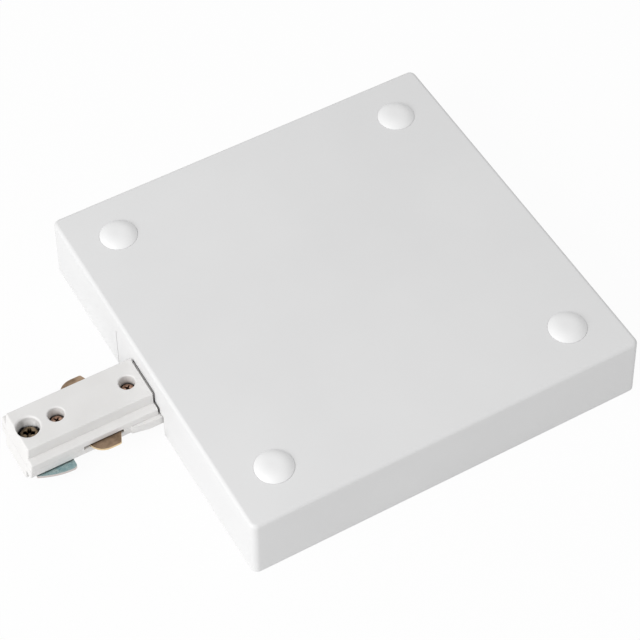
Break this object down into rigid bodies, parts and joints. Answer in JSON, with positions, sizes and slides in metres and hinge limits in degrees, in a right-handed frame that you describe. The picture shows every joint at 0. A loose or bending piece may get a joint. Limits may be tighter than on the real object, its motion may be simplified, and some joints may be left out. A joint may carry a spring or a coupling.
{
  "type": "track light power feed",
  "caption": "Square outlet-box canopy with domed hole plugs and a keyed three-wire connector plug that feeds a lighting track from its end.",
  "frame": {"origin": "bottom centre of the whole object, on the plane of the canopy's rim and the mounting plate's back", "axes": "+Z towards the canopy's face, -X along the plug towards its tip"},
  "size_m": [0.174, 0.1312, 0.024],
  "materials": {
    "canopy_white": "fine satin moulding",
    "cap_white": "smooth satin moulding",
    "connector_white": "satin moulding",
    "zinc_steel": "bright zinc plate",
    "green_screw": "green dyed zinc",
    "contact_brass": "dull brown brass, bright on the cut edge",
    "blue_zinc": "blue-green passivated zinc",
    "yellow_zinc": "yellow passivated zinc",
    "coppered_steel": "coppered"
  },
  "bodies": {
    "feed": {"canopy_cover": "canopy_white", "canopy_screw_1": "zinc_steel", "canopy_screw_2": "zinc_steel", "canopy_screw_3": "zinc_steel", "canopy_screw_4": "zinc_steel", "mounting_plate": "zinc_steel", "ground_screw": "green_screw", "plug_housing": "connector_white", "plug_base": "connector_white", "line_contact": "contact_brass", "neutral_contact": "contact_brass", "ground_strip": "contact_brass", "housing_screw_1": "coppered_steel", "housing_screw_2": "coppered_steel", "line_terminal_screw": "zinc_steel", "neutral_terminal_screw": "zinc_steel", "ground_terminal_screw": "zinc_steel", "plate_screw_1": "zinc_steel", "plate_screw_2": "zinc_steel"},
    "cap_1": {"hole_plug_1": "cap_white"},
    "cap_2": {"hole_plug_2": "cap_white"},
    "cap_3": {"hole_plug_3": "cap_white"},
    "cap_4": {"hole_plug_4": "cap_white"},
    "lock_screw_body": {"lock_screw": "yellow_zinc"},
    "blade_body": {"ground_blade": "blue_zinc"}
  },
  "joints": [
    {"name": "cap_1_pull", "type": "slide", "parent": "feed", "child": "cap_1", "axis": [0, 0, 1], "range_m": [0, 0.008]},
    {"name": "cap_2_pull", "type": "slide", "parent": "feed", "child": "cap_2", "axis": [0, 0, 1], "range_m": [0, 0.008]},
    {"name": "cap_3_pull", "type": "slide", "parent": "feed", "child": "cap_3", "axis": [0, 0, 1], "range_m": [0, 0.008]},
    {"name": "cap_4_pull", "type": "slide", "parent": "feed", "child": "cap_4", "axis": [0, 0, 1], "range_m": [0, 0.008]},
    {"name": "lock_screw_turn", "type": "hinge", "parent": "feed", "child": "lock_screw_body", "pos_m": [-0.08139, 0.0028, 0.0103], "axis": [0, 0, 1], "range_deg": [0, 720]},
    {"name": "blade_travel", "type": "slide", "parent": "feed", "child": "blade_body", "axis": [0, 0, -1], "range_m": [0, 0.0012]}
  ],
  "couplings": [
    {"joint": "lock_screw_turn", "follows": "blade_travel", "rad_per_m": 10472}
  ]
}
